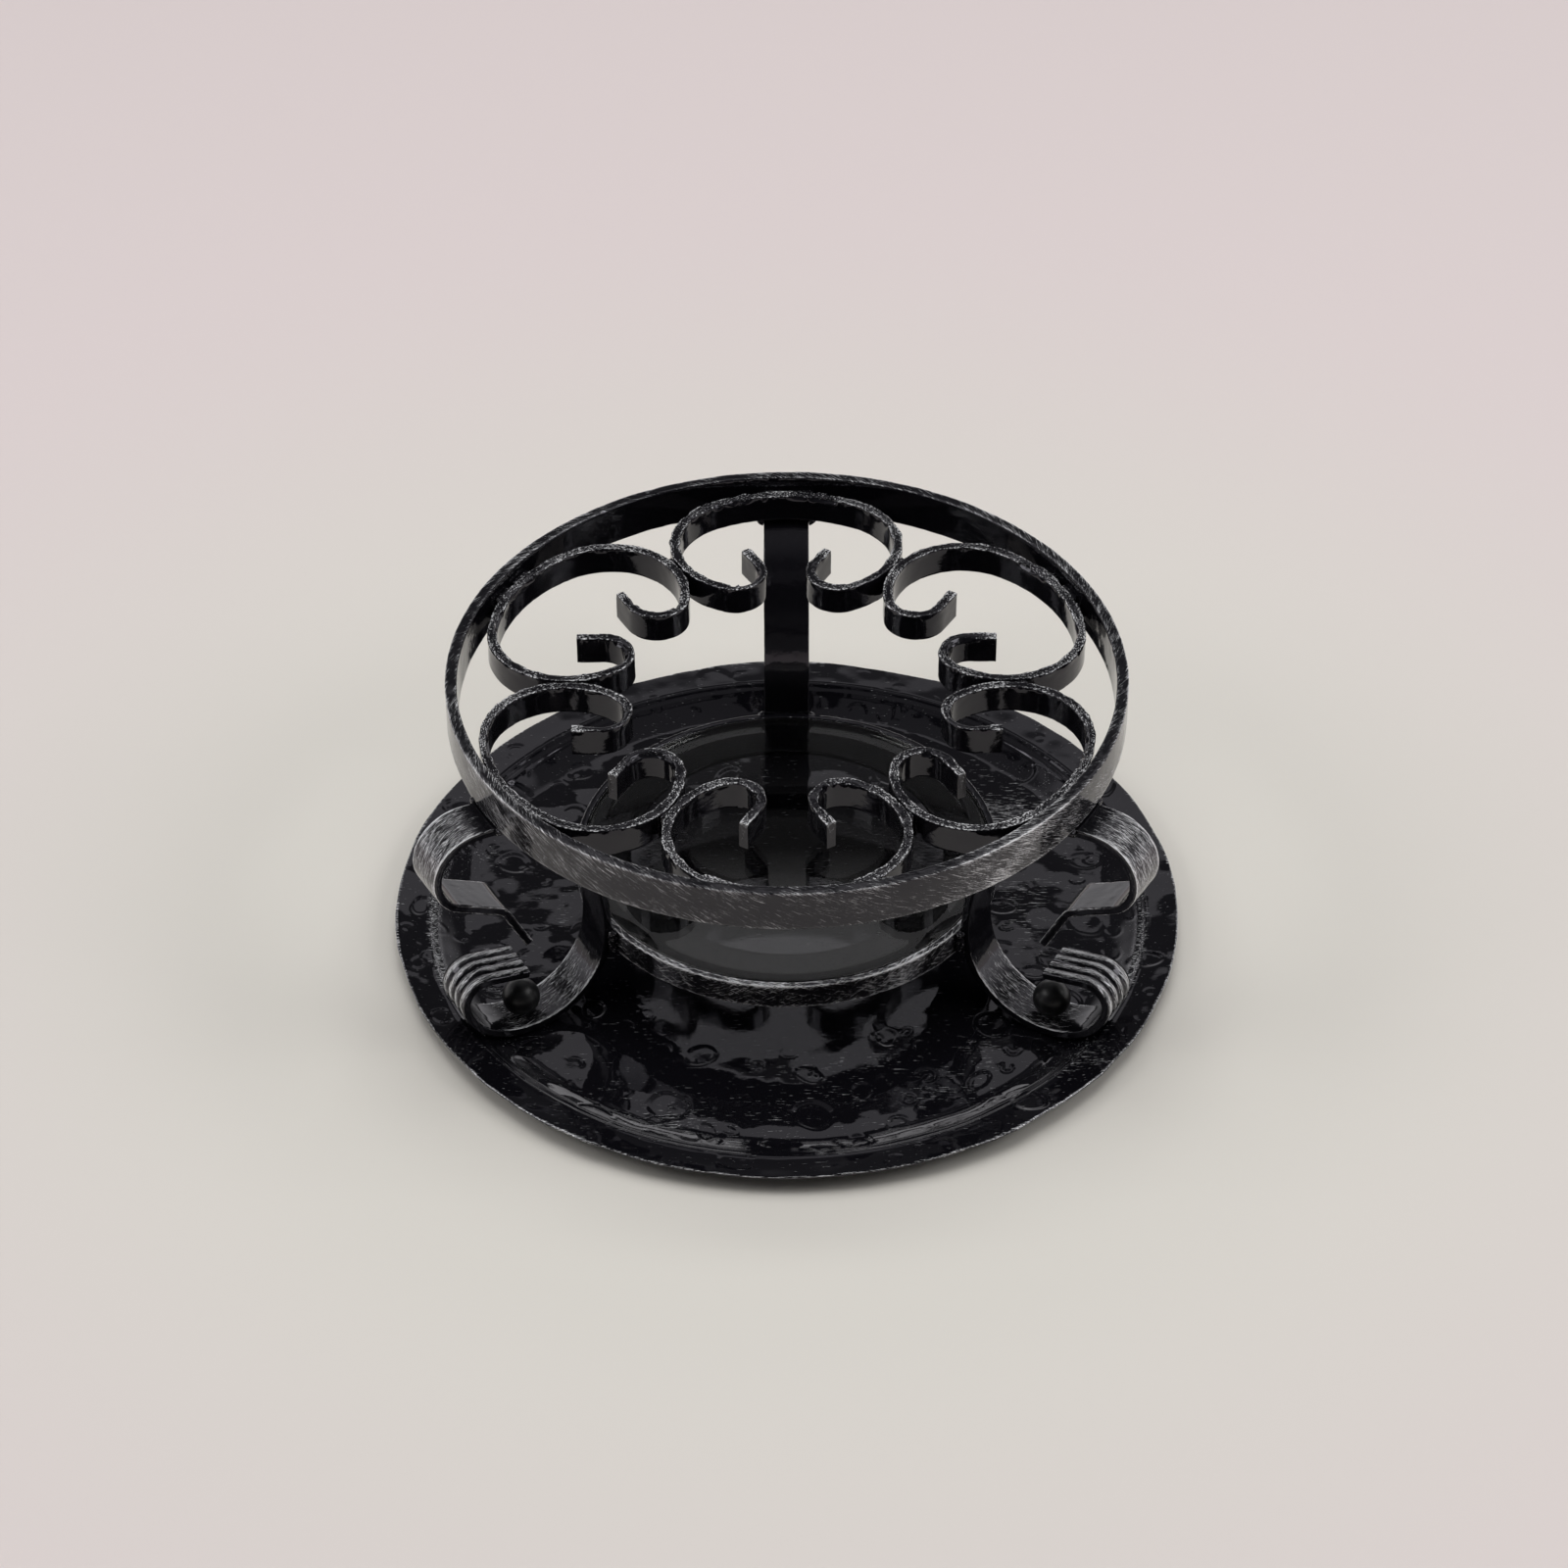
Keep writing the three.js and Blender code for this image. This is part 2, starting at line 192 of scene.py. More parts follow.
# ------------------------------------------------------------------ bars
def follow_bends(start, bends, step=1.0):
    """Stations along a list of bends: rows of x, y, heading and travel."""
    x, y, heading = start[0], start[1], math.radians(start[2])
    travel = 0.0
    rows = [(x, y, heading, travel)]
    for radius, amount in bends:
        length = amount if radius is None else radius * math.radians(abs(amount))
        steps = max(2, math.ceil(length / step))
        turn = 0.0 if radius is None else math.radians(amount) / steps
        for _ in range(steps):
            piece = length / steps
            chord = piece if turn == 0 else 2 * radius * math.sin(abs(turn) / 2)
            x += chord * math.cos(heading + turn / 2)
            y += chord * math.sin(heading + turn / 2)
            heading += turn
            travel += piece
            rows.append((x, y, heading, travel))
    return np.array(rows)


def circle_stations(radius, count):
    angle = np.linspace(0, 2 * math.pi, count, endpoint=False) + math.pi / 2
    return np.stack([radius * np.cos(angle), radius * np.sin(angle), angle + math.pi / 2, radius * angle], 1)


def bar_section(thickness, width, corner=0.55, spacing=1.1):
    """A rounded rectangle as rows of u (to the left), w (across), their normals and the girth."""
    a, b = thickness / 2 - corner, width / 2 - corner
    rows = []
    sides = [((-1, 0), (-a - corner, -b), (-a - corner, b)), ((0, 1), (-a, b + corner), (a, b + corner)),
             ((1, 0), (a + corner, b), (a + corner, -b)), ((0, -1), (a, -b - corner), (-a, -b - corner))]
    for i, (normal, start, end) in enumerate(sides):
        start, end = np.array(start), np.array(end)
        steps = max(2, round(np.linalg.norm(end - start) / spacing))
        for k in range(steps + 1):
            rows.append((*(start + (end - start) * k / steps), *normal))
        following = np.array(sides[(i + 1) % 4][0])
        pivot = end - np.array(normal) * corner
        for k in (1, 2):
            bend = k / 3 * math.pi / 2
            out = np.array(normal) * math.cos(bend) + following * math.sin(bend)
            rows.append((*(pivot + out * corner), *out))
    rows = np.array(rows)
    legs = np.linalg.norm(np.diff(rows[:, :2], axis=0), axis=1)
    return np.column_stack([rows, np.r_[0, np.cumsum(legs)]])


NICK_DEPTH = 0.45
UPRIGHT = ((1, 0, 0), (0, 1, 0), (0, 0, 1))  # axes of a bar bent flat on the floor


def sweep(name, stations, section, axes, origin=(0, 0, 0), closed=False, shape=None, wear=None, seed=1,
          roughness=0.1):
    """Sweeps a section along stations, then roughens it like forged bar.

    axes are the directions of the stations' x and y and of the section's across. shape moves the
    section, and wear gives how much of the black is brushed with silver.
    """
    count, girth = len(stations), len(section)
    travel = np.repeat(stations[:, 3], girth)
    heading = np.repeat(stations[:, 2], girth)
    u, w, nu, nw, around = np.tile(section, (count, 1)).T
    if shape is not None:
        u, w = shape(travel, u, w, nu, nw)
    flat_x = np.repeat(stations[:, 0], girth) - u * np.sin(heading)
    flat_y = np.repeat(stations[:, 1], girth) + u * np.cos(heading)
    normal_x, normal_y = -nu * np.sin(heading), nu * np.cos(heading)
    axis_x, axis_y, axis_w = (np.array(axis, float) for axis in axes)
    points = np.outer(flat_x, axis_x) + np.outer(flat_y, axis_y) + np.outer(w, axis_w) + np.array(origin)
    normals = np.outer(normal_x, axis_x) + np.outer(normal_y, axis_y) + np.outer(nw, axis_w)
    lumps = layered_noise(points, (1.3, 9, seed), (0.6, 3.2, seed + 1))
    near_corner = np.minimum(np.abs(nu), np.abs(nw)) > 0.1
    nicks = np.clip(lattice_noise(points, 2.2, seed + 2) - 0.25, 0, 1) * near_corner
    points = points + normals * (roughness * lumps - NICK_DEPTH * nicks)[:, None]
    amount = wear(travel, u, w, nu, nw) if wear is not None else np.zeros(len(points))
    grain = np.column_stack([travel, around, np.full(len(points), seed * 3.7)]) * MM
    faces = []
    last = count if closed else count - 1
    for i in range(last):
        here, there = i * girth, ((i + 1) % count) * girth
        for k in range(girth):
            nxt = (k + 1) % girth
            faces.append((here + k, here + nxt, there + nxt, there + k))
    if not closed:
        for end in (0, count - 1):
            points, amount, grain = add_cap(points, amount, grain, faces, end * girth, girth)
    return make_object(name, points, faces, amount, grain)


def add_cap(points, wear, grain, faces, first, girth):
    """Closes an end with a slightly shrunk ring and a centre point, for a softly broken edge."""
    rim = points[first:first + girth]
    centre = rim.mean(axis=0)
    inner = len(points)
    ring = centre + (rim - centre) * 0.86
    points = np.vstack([points, ring, centre])
    wear = np.concatenate([wear, wear[first:first + girth] * 0.8, [CAP_WEAR]])
    grain = np.vstack([grain, grain[first:first + girth] + 0.001, grain[first] + 0.002])
    for k in range(girth):
        nxt = (k + 1) % girth
        faces.append((first + k, first + nxt, inner + nxt, inner + k))
        faces.append((inner + k, inner + nxt, inner + girth))
    return points, wear, grain


def edge_wear(u, w, thickness, width, reach=1.3):
    """How near a point is to a long edge of its bar, from 0 to 1."""
    in_u = thickness / 2 - np.abs(u)
    in_w = width / 2 - np.abs(w)
    return np.exp(-((np.maximum(in_u, 0) + np.maximum(in_w, 0)) / reach) ** 2)


# ------------------------------------------------------------------ materials
BLACK = (0.0040, 0.0038, 0.0052)
WORN_BLACK = (0.01, 0.01, 0.011)
SILVER = (0.72, 0.725, 0.74)
SILVER_METALLIC = 0.4
SILVER_ROUGHNESS = 0.45
STROKES, FINE, PATCHES = 0.7, 0.18, 0.12  # shares of the brushing's texture
SILVER_LEVEL = 0.96  # texture plus wear above which silver shows
HAZE_REACH = 0.12  # how far below that level the black is already greyed
HAZE_GAIN = 1.1


class Finish:
    """A material's nodes, with short ways to add the kinds used here."""

    def __init__(self, name):
        self.material = bpy.data.materials.new(name)
        self.material.use_nodes = True
        self.nodes = self.material.node_tree.nodes
        self.links = self.material.node_tree.links
        self.shader = self.nodes["Principled BSDF"]

    def put(self, socket, value):
        """Sets one of the shader's sockets, or links a node's output to it."""
        if isinstance(value, bpy.types.NodeSocket):
            self.links.new(value, self.shader.inputs[socket])
        else:
            self.shader.inputs[socket].default_value = value

    def place(self):
        return self.nodes.new("ShaderNodeTexCoord").outputs["Object"]

    def attribute(self, name, output):
        node = self.nodes.new("ShaderNodeAttribute")
        node.attribute_name = name
        return node.outputs[output]

    def noise(self, vector, size, stretch=(1, 1, 1), turn=0.0, detail=2.0, distortion=0.0):
        """Noise over a vector in metres, with features of a size in mm, stretched along each axis."""
        mapping = self.nodes.new("ShaderNodeMapping")
        mapping.inputs["Rotation"].default_value = (0, 0, turn)
        self.links.new(vector, mapping.inputs["Vector"])
        squeeze = self.nodes.new("ShaderNodeMapping")
        squeeze.inputs["Scale"].default_value = [1 / s for s in stretch]
        self.links.new(mapping.outputs["Vector"], squeeze.inputs["Vector"])
        noise = self.nodes.new("ShaderNodeTexNoise")
        noise.inputs["Scale"].default_value = 1 / (size * MM)
        noise.inputs["Detail"].default_value = detail
        noise.inputs["Roughness"].default_value = 0.6
        noise.inputs["Distortion"].default_value = distortion
        self.links.new(squeeze.outputs["Vector"], noise.inputs["Vector"])
        return noise.outputs["Fac"]

    def math(self, operation, *values, clamp=False):
        node = self.nodes.new("ShaderNodeMath")
        node.operation = operation
        node.use_clamp = clamp
        for socket, value in zip(node.inputs, values):
            if isinstance(value, bpy.types.NodeSocket):
                self.links.new(value, socket)
            else:
                socket.default_value = value
        return node.outputs[0]

    def mix_value(self, factor, low, high):
        node = self.nodes.new("ShaderNodeMapRange")
        self.links.new(factor, node.inputs["Value"])
        node.inputs["To Min"].default_value = low
        node.inputs["To Max"].default_value = high
        return node.outputs["Result"]

    def mix_colour(self, factor, low, high):
        node = self.nodes.new("ShaderNodeMix")
        node.data_type = "RGBA"
        self.links.new(factor, node.inputs["Factor"])
        node.inputs["A"].default_value = (*low, 1)
        node.inputs["B"].default_value = (*high, 1)
        return node.outputs["Result"]

    def bump(self, height, strength, depth):
        """Bump from a height, with its depth in mm."""
        node = self.nodes.new("ShaderNodeBump")
        node.inputs["Strength"].default_value = strength
        node.inputs["Distance"].default_value = depth * MM
        self.links.new(height, node.inputs["Height"])
        self.put("Normal", node.outputs["Normal"])


def brushed_black(name, turns, stroke, gloss=0.08, haze_cover=0.15, gain=7.0, skin=0.35, world_grain=False):
    """Black gloss paint with silver dry-brushed over it, as much as the wear attribute says.

    turns are the directions of the strokes, and stroke is their length and width in mm.
    """
    finish = Finish(name)
    vector = finish.place() if world_grain else finish.attribute("grain", "Vector")
    wear = finish.attribute("wear", "Fac")
    long, across = stroke
    strokes = None
    for turn in turns:
        one = finish.noise(vector, across, (long / across, 1, 1), math.radians(turn), 1.0, 0.3)
        strokes = one if strokes is None else finish.math("MAXIMUM", strokes, one)
    fine = finish.noise(vector, 0.6, (2, 1, 1), math.radians(turns[0]), 1.0)
    patches = finish.noise(vector, 9)
    texture = finish.math("MULTIPLY", strokes, STROKES)
    texture = finish.math("MULTIPLY_ADD", fine, FINE, texture)
    texture = finish.math("MULTIPLY_ADD", patches, PATCHES, texture)
    level = finish.math("ADD", texture, wear)
    level = finish.math("SUBTRACT", level, SILVER_LEVEL)
    mask = finish.math("MULTIPLY", level, gain, clamp=True)
    haze = finish.math("ADD", level, HAZE_REACH)
    haze = finish.math("MULTIPLY", haze, HAZE_GAIN, clamp=True)
    cover = finish.math("MULTIPLY", haze, haze_cover)
    cover = finish.math("MAXIMUM", cover, mask)
    finish.put("Base Color", finish.mix_colour(cover, BLACK, SILVER))
    finish.put("Metallic", finish.mix_value(mask, 0.0, SILVER_METALLIC))
    finish.put("Specular Tint", (0.93, 0.91, 1.0, 1))
    finish.put("Roughness", finish.mix_value(mask, gloss, SILVER_ROUGHNESS))
    peel = finish.noise(vector, 1.6, (1.5, 1, 1))
    finish.bump(finish.math("MULTIPLY_ADD", mask, 0.6, peel), skin, 0.1)
    return finish.material


def gloss_black(name, gloss, mirror):
    """Smooth black with faint waves and hairline scratches. mirror is how much it reflects."""
    finish = Finish(name)
    vector = finish.place()
    hair = finish.noise(vector, 0.25, (60, 1, 1), 0.12, 1.0)
    mask = finish.math("SUBTRACT", hair, 0.72)
    mask = finish.math("MULTIPLY", mask, 8.0, clamp=True)
    finish.put("Base Color", finish.mix_colour(mask, BLACK, WORN_BLACK))
    finish.put("Roughness", finish.mix_value(mask, gloss, 0.3))
    finish.put("Specular IOR Level", mirror)
    finish.bump(finish.noise(vector, 30, detail=1.0), 0.15, 0.2)
    return finish.material


def satin_black(name, roughness):
    """Satin black with a fine orange peel."""
    finish = Finish(name)
    speck = finish.noise(finish.place(), 0.7)
    finish.put("Base Color", finish.mix_colour(speck, (0.003, 0.003, 0.0035), (0.009, 0.009, 0.01)))
    finish.put("Roughness", finish.mix_value(speck, roughness - 0.06, roughness + 0.06))
    finish.bump(speck, 0.2, 0.05)
    return finish.material


def plain_steel(name):
    """Turned steel, with its marks running round."""
    finish = Finish(name)
    turned = finish.noise(finish.place(), 0.4, (8, 8, 1))
    finish.put("Base Color", finish.mix_colour(turned, (0.35, 0.36, 0.37), (0.6, 0.61, 0.62)))
    finish.put("Roughness", finish.mix_value(turned, 0.25, 0.45))
    finish.put("Metallic", 1.0)
    return finish.material


def paper_with_painted_shade(name):
    """Pale paper with painted shade: a little greener and darker round the middle of the stage, under and
    around the stand.
    """
    finish = Finish(name)
    distance = finish.nodes.new("ShaderNodeVectorMath")
    distance.operation = "LENGTH"
    finish.links.new(finish.place(), distance.inputs[0])
    reach = finish.nodes.new("ShaderNodeMapRange")
    reach.interpolation_type = "SMOOTHSTEP"
    reach.inputs["From Min"].default_value = 0.2
    reach.inputs["From Max"].default_value = 0.62
    finish.links.new(distance.outputs["Value"], reach.inputs["Value"])
    # near is the painted shade round the stand, and far is the open paper.
    near, far = (0.69, 0.665, 0.615), (0.715, 0.635, 0.63)
    finish.put("Base Color", finish.mix_colour(reach.outputs["Result"], near, far))
    finish.put("Roughness", 0.9)
    finish.put("Specular IOR Level", 0.1)
    return finish.material


def clear_glass(name):
    """Clear coated glass, which mirrors less than plain glass, with faint smears in its gloss."""
    finish = Finish(name)
    finish.put("Base Color", (0.98, 0.99, 0.985, 1))
    finish.put("Transmission Weight", 1.0)
    finish.put("IOR", 1.33)
    smear = finish.noise(finish.place(), 40, (2, 1, 1), 0.6)
    finish.put("Roughness", finish.mix_value(smear, 0.0, 0.012))
    return finish.material


ring_paint = brushed_black("ring_paint", (35, 21), (10, 0.3))
bar_paint = brushed_black("bar_paint", (-4, 14), (7, 0.36))
scroll_paint = brushed_black("scroll_paint", (0,), (1.0, 0.5))
hoop_paint = brushed_black("hoop_paint", (-28, 18), (5, 0.36))
dish_paint = brushed_black("dish_paint", (0,), (6.5, 0.4), gloss=0.02, haze_cover=0.0, gain=5.0, skin=0.1,
                           world_grain=True)
weld_paint = brushed_black("weld_paint", (0,), (1.2, 0.6), gloss=0.2)
ledge_paint = gloss_black("ledge_paint", gloss=0.25, mirror=0.15)
glass = clear_glass("float_glass")
ball_paint = satin_black("ball_paint", 0.36)
stud_steel = plain_steel("stud_steel")


def finish_piece(obj, material, slot, *nodes):
    obj.data.materials.clear()
    obj.data.materials.append(material)
    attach(obj, "root")
    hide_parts(*nodes)


# ------------------------------------------------------------------ top ring and low hoop
def facing(normal):
    """1 where a face looks along a direction, fading to 0 round its corners."""
    return smooth_step(0.3, 0.9, normal)


def ring_wear(travel, u, w, nu, nw):
    """Streaks outside, fewer on top, and bright edges except on the inside."""
    outer, upper, inner = facing(-nu), facing(nw), facing(nu)
    edges = edge_wear(u, w, RING_THICKNESS, ring_high[2] - ring_low[2], 0.9)
    uneven = layered_noise(on_plane(travel, w * 2), (0.05, 45, 61), (0.05, 14, 62))
    amount = PAINTED + (RING_WEAR["outside"] + uneven) * outer + (RING_WEAR["top"] + uneven) * upper
    return amount + edges * (RING_WEAR["edges"] * (1 - inner) + RING_WEAR["inner edges"] * inner)


def hoop_wear(travel, u, w, nu, nw):
    """The brush only reached the outside, and the top between the two front legs. A thin line of silver
    along the inner top edge is a painted highlight.
    """
    around = travel / (HOOP_RADIUS - HOOP_THICKNESS / 2)
    front = smooth_step(0.0, 0.35, -np.sin(around))
    outer, upper = facing(-nu), facing(nw)
    edges = edge_wear(u, w, HOOP_THICKNESS, hoop_high[2] - hoop_low[2], 0.8)
    # Painted highlight: a thin silver line along the inner top edge stands in for the edge's glint.
    line = np.exp(-((HOOP_THICKNESS / 2 - u) / 0.35) ** 2) * upper
    uneven = layered_noise(on_plane(travel, w), (0.09, 26, 63), (0.05, 8, 64))
    amount = HOOP_WEAR["all"] + HOOP_WEAR["line"] * line + (HOOP_WEAR["outside"] + uneven) * outer
    amount = amount + (HOOP_WEAR["front top"] + uneven) * upper * front
    rubbed = HOOP_WEAR["edges"] + HOOP_WEAR["outer edges"] * outer + HOOP_WEAR["front edges"] * upper * front
    return amount + edges * rubbed


HOOP_STATIONS = 5  # for each mm of radius


def make_hoop(name, outer, thickness, low, high, paint, wear, seed):
    # The stations run anticlockwise, so the section's left is the inner face.
    stations = circle_stations(outer - thickness / 2, round(outer * HOOP_STATIONS))
    hoop = sweep(f"{name}_forged", stations, bar_section(thickness, high - low), UPRIGHT,
                 origin=(0, 0, (low + high) / 2), closed=True, wear=wear, seed=seed)
    finish_piece(hoop, paint, "brushed_iron", name)


make_hoop("top_ring", RING_RADIUS, RING_THICKNESS, ring_low[2], ring_high[2], ring_paint, ring_wear, 3)
make_hoop("low_hoop", HOOP_RADIUS, HOOP_THICKNESS, hoop_low[2], hoop_high[2], hoop_paint, hoop_wear, 5)


# ------------------------------------------------------------------ scrolls
SCROLL_HEIGHT = scroll_high[2] - scroll_low[2]


NOTCH_DEPTH = 1.3
HEAP_HEIGHT = 0.9  # of the weld metal heaped on the outer edge by the ring


def scroll_stations():
    """Stations of a whole scroll, from one tip to the other, with travel from its middle."""
    top = scroll_high[1] - SCROLL_THICKNESS / 2
    half = follow_bends((0, top, 0), SCROLL_HALF_BENDS, 0.9)
    mirrored = half[:0:-1].copy()
    mirrored[:, 0] *= -1
    mirrored[:, 2] *= -1
    mirrored[:, 3] *= -1
    return np.vstack([mirrored, half])


def melted_edge(seed):
    """Ragged upper edges, and notches left by the torch along the inner one."""
    def shape(travel, u, w, nu, nw):
        at = on_plane(travel, np.full(len(travel), seed * 5.0))
        run = layered_noise(at, (1, 11, seed), (0.35, 2.5, seed + 9))
        near_weld = bump_at(np.abs(travel), RING_WELD, 18) + bump_at(np.abs(travel), SIDE_WELD, 16)
        depth = NOTCH_DEPTH * smooth_step(0.0, 0.2, run) * np.clip(near_weld, 0, 1)
        high = smooth_step(SCROLL_HEIGHT / 2 - 2.6, SCROLL_HEIGHT / 2, w)
        inner_top = smooth_step(0.2, SCROLL_THICKNESS / 2, -u) * high
        ragged = layered_noise(at, (0.45, 4, seed + 3), (0.3, 1.8, seed + 4))
        side = np.sign(u) * smooth_step(0.5, SCROLL_THICKNESS / 2, np.abs(u))
        heap = HEAP_HEIGHT * smooth_step(0.1, 0.5, lattice_noise(at, 7, seed + 5))
        heap = heap * bump_at(np.abs(travel), 10, 12)
        new_u = u + 0.8 * depth * inner_top + ragged * side * high
        return new_u, w - depth * inner_top + heap * high * (u > 0)
    return shape


def scroll_wear(travel, u, w, nu, nw):
    """Mottled silver on top and along the upper edges, and a little more at the tips."""
    upper = facing(nw)
    edges = edge_wear(u, w, SCROLL_THICKNESS, SCROLL_HEIGHT, 0.8)
    edges = edges * smooth_step(0.0, 0.8, w / SCROLL_HEIGHT * 2)
    tips = smooth_step(SCROLL_TIP, SCROLL_TIP + 9, np.abs(travel))
    uneven = layered_noise(on_plane(travel, u * 2), (0.08, 9, 71))
    amount = PAINTED + (SCROLL_WEAR["top"] + uneven) * upper
    return amount + SCROLL_WEAR["edges"] * edges + SCROLL_WEAR["tips"] * tips


for i, where in enumerate(SCROLL_NAMES):
    azimuth = math.radians(90 + 60 * i)
    outward = (math.cos(azimuth), math.sin(azimuth), 0)
    sideways = (math.sin(azimuth), -math.cos(azimuth), 0)
    section = bar_section(SCROLL_THICKNESS, SCROLL_HEIGHT, 0.4, 0.9)
    scroll = sweep(f"scroll_{where}_forged", scroll_stations(), section, (sideways, outward, (0, 0, 1)),
                   origin=(0, 0, (scroll_low[2] + scroll_high[2]) / 2), shape=melted_edge(i + 20),
                   wear=scroll_wear, seed=30 + i, roughness=0.08)
    finish_piece(scroll, scroll_paint, "brushed_iron", f"scroll_{where}")


# ------------------------------------------------------------------ legs
leg_line = follow_bends(LEG_START, LEG_BENDS, 0.9)
leg_end = leg_line[-1, 3]


def flutes(travel, u, w, nu, nw):
    """Rounded reeds along the outside of the lower curl."""
    outer = smooth_step(0.3, 0.8, -nu)
    fade = smooth_step(leg_end - FLUTE_LENGTH, leg_end - FLUTE_LENGTH + 12, travel)
    reed = np.abs(np.sin(REEDS * math.pi * (w / LEG_WIDTH + 0.5))) ** 0.55
    return u + FLUTE_DEPTH * (1 - reed) * outer * fade, w


def leg_wear(travel, u, w, nu, nw):
    """Streaks over the arch, the reeds, the inside of the foot and the tip, and bright edges."""
    outside, inside = facing(-nu), facing(nu)
    edges = edge_wear(u, w, LEG_THICKNESS, LEG_WIDTH, 0.9)
    arch = between(*ARCH, 20, 20, travel)
    curl = smooth_step(leg_end - FLUTE_LENGTH, leg_end - FLUTE_LENGTH + 25, travel)
    reed = np.abs(np.sin(REEDS * math.pi * (w / LEG_WIDTH + 0.5)))
    foot = between(*FOOT, 23, 17, travel)
    tip = 1 - smooth_step(TIP_END, TIP_END + 10, travel)
    amount = PAINTED + inside * (LEG_WEAR["foot"] * foot + LEG_WEAR["tip"] * tip)
    reeded = curl * (LEG_WEAR["curl"] + LEG_WEAR["reeds"] * reed)
    amount = amount + outside * (LEG_WEAR["arch"] * arch + reeded)
    rubbed = LEG_WEAR["edges"] + LEG_WEAR["arch edges"] * arch * outside + LEG_WEAR["tip edges"] * tip
    return amount + edges * (rubbed + LEG_WEAR["foot edges"] * foot * inside)


for i, (where, degrees) in enumerate(LEG_AZIMUTHS.items()):
    azimuth = math.radians(degrees)
    outward = (math.cos(azimuth), math.sin(azimuth), 0)
    across = (-math.sin(azimuth), math.cos(azimuth), 0)
    leg = sweep(f"leg_{where}_forged", leg_line, bar_section(LEG_THICKNESS, LEG_WIDTH, 0.45, 0.7),
                (outward, (0, 0, 1), across), shape=flutes, wear=leg_wear, seed=50 + 4 * i, roughness=0.07)
    finish_piece(leg, bar_paint, "brushed_iron", f"leg_{where}")


# ------------------------------------------------------------------ turned pieces
def revolve(name, profile, steps, change=None, wear=None, centre=(0, 0)):
    """Spins rows of (radius, height) about Z. The first and last rows are on the axis."""
    angle = np.linspace(0, 2 * math.pi, steps, endpoint=False)
    body = np.array(profile[1:-1])
    radius = np.repeat(body[:, 0], steps)
    height = np.repeat(body[:, 1], steps)
    theta = np.tile(angle, len(body))
    if change is not None:
        radius, height = change(radius, height, theta)
    x = radius * np.cos(theta) + centre[0]
    y = radius * np.sin(theta) + centre[1]
    points = np.column_stack([x, y, height])
    first, last = len(points), len(points) + 1
    first_z = points[:steps, 2].mean()
    last_z = points[-steps:, 2].mean()
    points = np.vstack([points, (*centre, first_z), (*centre, last_z)])
    faces = []
    for row in range(len(body) - 1):
        here, there = row * steps, (row + 1) * steps
        for k in range(steps):
            nxt = (k + 1) % steps
            faces.append((here + k, here + nxt, there + nxt, there + k))
    end = (len(body) - 1) * steps
    for k in range(steps):
        nxt = (k + 1) % steps
        faces.append((first, k, nxt))
        faces.append((last, end + nxt, end + k))
    amount = None if wear is None else wear(points)
    return make_object(name, points, faces, amount)


def line_rows(start, end, steps):
    return [tuple(np.array(start) + (np.array(end) - np.array(start)) * k / steps) for k in range(steps + 1)]


# ------------------------------------------------------------------ drip dish
def dish_top(radius):
    """Height of the dish's upper face at a radius."""
    wall = smooth_step(FLOOR_RADIUS - 3, CREASE_RADIUS + 3, radius)
    flange = np.clip((radius - CREASE_RADIUS) / (DISH_RADIUS - CREASE_RADIUS), 0, 1)
    bead = 0.6 * bump_at(radius, CREASE_RADIUS, 1.2) + 0.4 * bump_at(radius, CREASE_RADIUS - CREASE_GAP, 1.0)
    return SHEET + (CREASE_HEIGHT - SHEET) * wall + (RIM_HEIGHT - CREASE_HEIGHT) * flange + bead


SMOOTH_RADIUS = 82  # inside it the dish isn't hammered
HUB_RADIUS = 6  # of the first ring of faces round the centre
DISH_STEPS = 1100
RIM_CUT = 0.75
MARK_COUNT, MARK_SPACING, MARK_RADII = 150, 9.5, (88, 171)
PIT_COUNT, PIT_SPACING, PIT_RADII = 46, 23, (90, 170)


def scatter(rng, count, spacing, inner, outer):
    """Random places in a ring, no two closer than the spacing."""
    places = []
    while len(places) < count:
        radius = math.sqrt(rng.uniform(inner ** 2, outer ** 2))
        theta = rng.uniform(0, 2 * math.pi)
        place = np.array([radius * math.cos(theta), radius * math.sin(theta)])
        if all(np.hypot(*(place - other)) > spacing for other in places):
            places.append(place)
    return places


def hammer_marks():
    """Ring-shaped cuts of the hammer's edge: place, size, depth, squash, turn and how far round."""
    rng = np.random.default_rng(7)
    marks = []
    for place in scatter(rng, MARK_COUNT, MARK_SPACING, *MARK_RADII):
        marks.append((place, rng.uniform(2.4, 5.8), rng.uniform(0.14, 0.3), rng.uniform(0.55, 1.0),
                      rng.uniform(0, 2 * math.pi), rng.uniform(-1.0, 0.9)))
    return marks


def hammer_pits():
    """Broad flat-bottomed dents: place, size, depth, squash and turn."""
    rng = np.random.default_rng(12)
    pits = []
    for place in scatter(rng, PIT_COUNT, PIT_SPACING, *PIT_RADII):
        pits.append((place, rng.uniform(5.5, 11), rng.uniform(0.25, 0.6), rng.uniform(0.55, 0.9),
                     rng.uniform(0, math.pi)))
    return pits


MARKS = hammer_marks()
PITS = hammer_pits()


def near_mark(x, y, place, size, squash, turn):
    """The points round a dent, with their angle and distance in the dent's own squashed frame."""
    near = (np.abs(x - place[0]) < 2.2 * size) & (np.abs(y - place[1]) < 2.2 * size)
    dx, dy = x[near] - place[0], y[near] - place[1]
    along = dx * math.cos(turn) + dy * math.sin(turn)
    aside = (dy * math.cos(turn) - dx * math.sin(turn)) / squash
    return near, np.arctan2(aside, along), np.hypot(along, aside)


